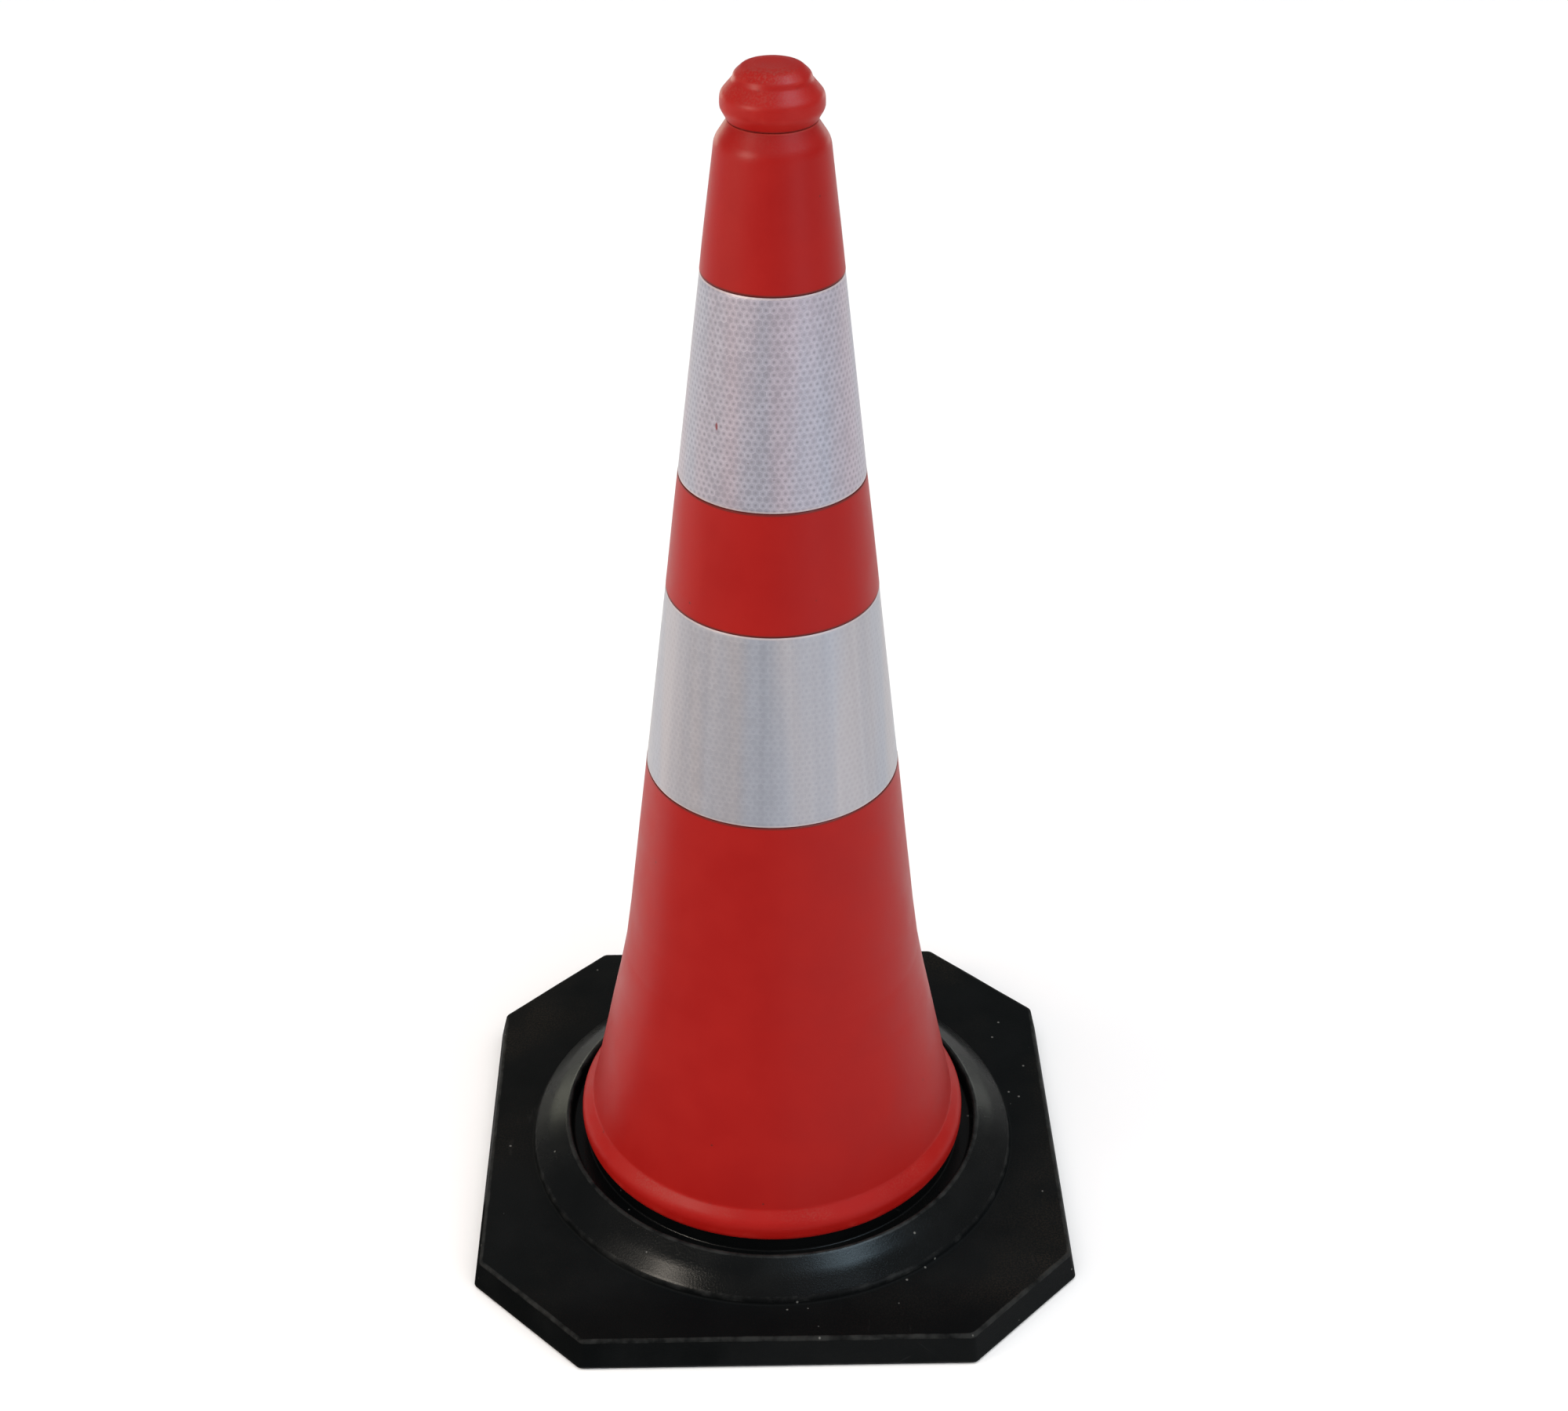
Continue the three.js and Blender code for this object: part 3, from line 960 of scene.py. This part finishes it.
def honeycomb_group():
    """Cells on the flat sheet, whose centres are a pitch apart, in millimetres."""
    outputs = ("Wall", "Middle", "Cell")
    group, given, result = new_group("honeycomb", {"Pitch": CELL_PITCH}, outputs)
    tree = group
    grid = (1, math.sqrt(3), 1)
    half_grid = tuple(side / 2 for side in grid)
    pitch = add(tree, "ShaderNodeCombineXYZ", {axis: given["Pitch"] for axis in range(3)})
    place = vector_calc(tree, "DIVIDE", given["Place"], pitch.outputs[0])
    place = vector_calc(tree, "MULTIPLY", place, (1, 1, 0))
    offsets = []
    for shift in ((0, 0, 0), half_grid):
        moved = vector_calc(tree, "SUBTRACT", place, shift)
        wrapped = vector_calc(tree, "WRAP", moved, half_grid, tuple(-side for side in half_grid))
        offsets.append(vector_calc(tree, "MULTIPLY", wrapped, (1, 1, 0)))
    lengths = [vector_calc(tree, "LENGTH", offset) for offset in offsets]
    second_nearer = calc(tree, "LESS_THAN", lengths[1], lengths[0])
    factor, first, second = 0, 4, 5
    choices = {factor: second_nearer, first: offsets[0], second: offsets[1]}
    pick = add(tree, "ShaderNodeMix", choices, data_type="VECTOR")
    offset = pick.outputs[1]
    folded = vector_calc(tree, "ABSOLUTE", offset)
    slanted = vector_calc(tree, "DOT_PRODUCT", folded, (0.5, math.sqrt(3) / 2, 0))
    across = add(tree, "ShaderNodeSeparateXYZ", {"Vector": folded}).outputs["X"]
    reach = calc(tree, "MAXIMUM", slanted, across)
    nudge, step = (0.1, 0.1, 0), (0.25, 0.25, 1)
    centre = vector_calc(tree, "SUBTRACT", place, offset)
    identity = vector_calc(tree, "SNAP", vector_calc(tree, "ADD", centre, nudge), step)
    random = add(tree, "ShaderNodeTexWhiteNoise", {"Vector": identity})
    tree.links.new(mask(tree, reach, 0.40, 0.475), result["Wall"])
    tree.links.new(mask(tree, reach, 0.30, 0.08), result["Middle"])
    tree.links.new(random.outputs["Value"], result["Cell"])
    return group


honeycomb = honeycomb_group()

# %% The film
def reflective_film(name, low, high, tints, contrast, streakiness, nick=None):
    """Film of the band from low to high. The nick is a small tear, at a place on the flat sheet."""
    material, tree, surface, place = new_material(name)
    sheet = add(tree, "ShaderNodeAttribute", attribute_name="flat_sheet").outputs["Vector"]
    cells = use(tree, honeycomb, sheet, Pitch=CELL_PITCH)
    scuffs = use(tree, marks, place, Scale=34, Share=0.7)["Marks"]
    grime = use(tree, specks, place, Scale=160, Share=0.02, Size=0.14)["Specks"]
    streaks = clouds(tree, sheet, 1, detail=2, stretch=(0, 0.0006, 4.5))
    fine_streaks = clouds(tree, sheet, 1, detail=1, stretch=(0, 0.002, 26))
    grain = clouds(tree, sheet, 0.9, detail=2)
    drift = mask(tree, clouds(tree, sheet, 1, detail=2, stretch=(0.020, 0.0015, 0)), 0.35, 0.65)
    colour = tint(tree, drift, *tints)
    cell_share = calc(tree, "MULTIPLY", cells["Cell"], 0.16 * contrast)
    brightness = calc(tree, "ADD", 0.99 - 0.08 * contrast, cell_share)
    brightness = calc(tree, "ADD", brightness, calc(tree, "MULTIPLY", cells["Wall"], 0.13 * contrast))
    depth = calc(tree, "MULTIPLY", calc(tree, "ADD", cells["Cell"], 0.4), 0.24 * contrast)
    brightness = calc(tree, "SUBTRACT", brightness, calc(tree, "MULTIPLY", cells["Middle"], depth))
    mottle = 0.30 * contrast
    for pattern, width in ((streaks, streakiness), (grain, mottle), (fine_streaks, 0.4 * streakiness)):
        brightness = calc(tree, "ADD", brightness, swing(tree, pattern, width))
    grey = add(tree, "ShaderNodeCombineColor", {channel: brightness for channel in range(3)})
    colour = tint(tree, 1.0, colour, grey.outputs[0], mode="MULTIPLY")
    colour = stain(tree, scuffs, 0.12, colour, (0.35, 0.34, 0.36))
    colour = stain(tree, grime, 0.5, colour, (0.12, 0.10, 0.10))
    # Painted highlight: a pale line along the film's top and bottom edges.
    middle, half = (low + high) / 2, (high - low) / 2
    from_middle = calc(tree, "ABSOLUTE", calc(tree, "SUBTRACT", height_mm(tree, place), middle))
    painted_edge_highlight = mask(tree, from_middle, half - 1.8, half - 0.8, high=0.7)
    colour = tint(tree, painted_edge_highlight, colour, (0.52, 0.42, 0.42))
    if nick:
        nick_size = (1.3, 3.6, 1)
        from_nick = vector_calc(tree, "MULTIPLY", vector_calc(tree, "SUBTRACT", sheet, nick), (1, 1, 0))
        from_nick = vector_calc(tree, "DIVIDE", from_nick, nick_size)
        torn = mask(tree, vector_calc(tree, "LENGTH", from_nick), 1.0, 0.6)
        colour = tint(tree, torn, colour, (0.20, 0.05, 0.06))
    rough = calc(tree, "ADD", 0.36, calc(tree, "MULTIPLY", cells["Cell"], 0.10))
    rough = calc(tree, "ADD", rough, calc(tree, "MULTIPLY", scuffs, 0.15))
    height = calc(tree, "SUBTRACT", cells["Wall"], calc(tree, "MULTIPLY", cells["Middle"], 0.5))
    set_look(surface, Base_Color=colour, Roughness=rough, Normal=relief(tree, height, 0.06, 0.7))
    set_look(surface, Metallic=0.18, Specular_IOR_Level=0.35, Coat_Weight=0.15, Coat_Roughness=0.30)
    return material


upper_tints = ((0.285, 0.295, 0.350), (0.345, 0.298, 0.340))
lower_tints = ((0.290, 0.305, 0.350), (0.350, 0.330, 0.345))
nick_place = unrolled(cone_radius(750), FRONT - math.radians(40))
upper_film = reflective_film(
    "upper_reflective_film", *BANDS["upper_band"], upper_tints,
    contrast=1.1, streakiness=0.14, nick=nick_place)
lower_film = reflective_film(
    "lower_reflective_film", *BANDS["lower_band"], lower_tints,
    contrast=0.3, streakiness=0.36)

# %% [markdown]
# ## Black rubber
# The base is reclaimed rubber pressed in a mould: nearly black, matt, and not quite even. Bits
# of pale crumb show as specks. The slab's top is dusty towards its edges, the rounded edges are
# rubbed grey, partly as a painted highlight, and the dust in it is brownish. The collar is rubbed
# smoother than the slab, because hands and other cones touch it. A strip of painted shade lies
# along the front of the slab's top: it is made blacker, with less dust.

# %% The rubber
def black_rubber(name):
    material, tree, surface, place = new_material(name)
    skin = use(tree, moulded, place, Grain_Scale=650, Patch_Scale=18)
    edge = use(tree, edges, place, Breakup=0.9)
    scuffs = use(tree, marks, place, Scale=22, Share=0.9)["Marks"]
    crumb = use(tree, specks, place, Scale=120, Share=0.08, Size=0.15)["Specks"]
    dusty = use(tree, dust, place, Patch_Scale=12, Amount=0.35)["Dust"]
    spot = add(tree, "ShaderNodeSeparateXYZ", {"Vector": place}).outputs
    from_axis = vector_calc(tree, "LENGTH", vector_calc(tree, "MULTIPLY", place, (1, 1, 0)))
    near_edge = mask(tree, from_axis, 0.20, 0.29)
    collar = mask(tree, spot["Z"], (SLAB_TOP + 3) * MM, (SLAB_TOP + 7) * MM)
    on_top = mask(tree, spot["Z"], (SLAB_TOP - 3.5) * MM, (SLAB_TOP - 1.2) * MM)
    colour = tint(tree, skin["Patches"], (0.0022, 0.0028, 0.0030), (0.0042, 0.0048, 0.0050))
    # Painted shade: a strip along the front of the slab's top, made blacker.
    painted_front_shade = calc(tree, "MULTIPLY", mask(tree, spot["Y"], -0.175, -0.235, high=0.75), on_top)
    colour = tint(tree, painted_front_shade, colour, (0.0006, 0.0007, 0.0008))
    # Rubbed grey edges, which also act as a painted highlight along the rubber's rounded edges.
    colour = stain(tree, edge["Rubbed And Highlight"], 0.6, colour, (0.030, 0.031, 0.030))
    colour = stain(tree, scuffs, 0.25, colour, (0.026, 0.026, 0.025))
    lying = calc(tree, "MULTIPLY", dusty, calc(tree, "ADD", 0.25, near_edge))
    # Less dust under the front strip of painted shade, which keeps it black.
    lying = calc(tree, "MULTIPLY", lying, calc(tree, "SUBTRACT", 1.0, painted_front_shade))
    colour = tint(tree, lying, colour, (0.036, 0.028, 0.020))
    colour = stain(tree, crumb, 0.7, colour, (0.16, 0.16, 0.15))
    rough = calc(tree, "ADD", 0.62, calc(tree, "MULTIPLY", skin["Patches"], 0.12))
    rough = calc(tree, "SUBTRACT", rough, calc(tree, "MULTIPLY", collar, 0.42))
    height = calc(tree, "ADD", skin["Grain"], calc(tree, "MULTIPLY", crumb, 0.5))
    set_look(surface, Base_Color=colour, Roughness=rough, Normal=relief(tree, height, 0.35, 0.6))
    set_look(surface, Specular_IOR_Level=0.055)
    set_look(surface, Coat_Weight=calc(tree, "MULTIPLY", collar, 0.13), Coat_Roughness=0.20)
    return material


rubber = black_rubber("black_rubber")

# %% [markdown]
# ## Joining the pieces to the model
# Each piece takes its material, rides on the body that it moves with, and stands for the CAD
# node that it replaces. The cone's shell, its knob and its bands lift off together, and the
# rubber base stays on the ground.

# %% Materials, bodies and nodes
pieces = [
    (base, rubber, "base", "rubber_base", "rubber"),
    (shell, shell_red, "cone", "cone_shell", "shell"),
    (knob, knob_red, "cone", "top_knob", "knob"),
    (bands["upper_band"], upper_film, "cone", "upper_band", "film"),
    (bands["lower_band"], lower_film, "cone", "lower_band", "film"),
]
for piece, material, body, node, slot in pieces:
    piece.data.materials.append(material)
    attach(piece, body)
    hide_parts(node)
    print(f"{piece.name} rides on {body} and stands for {node}")
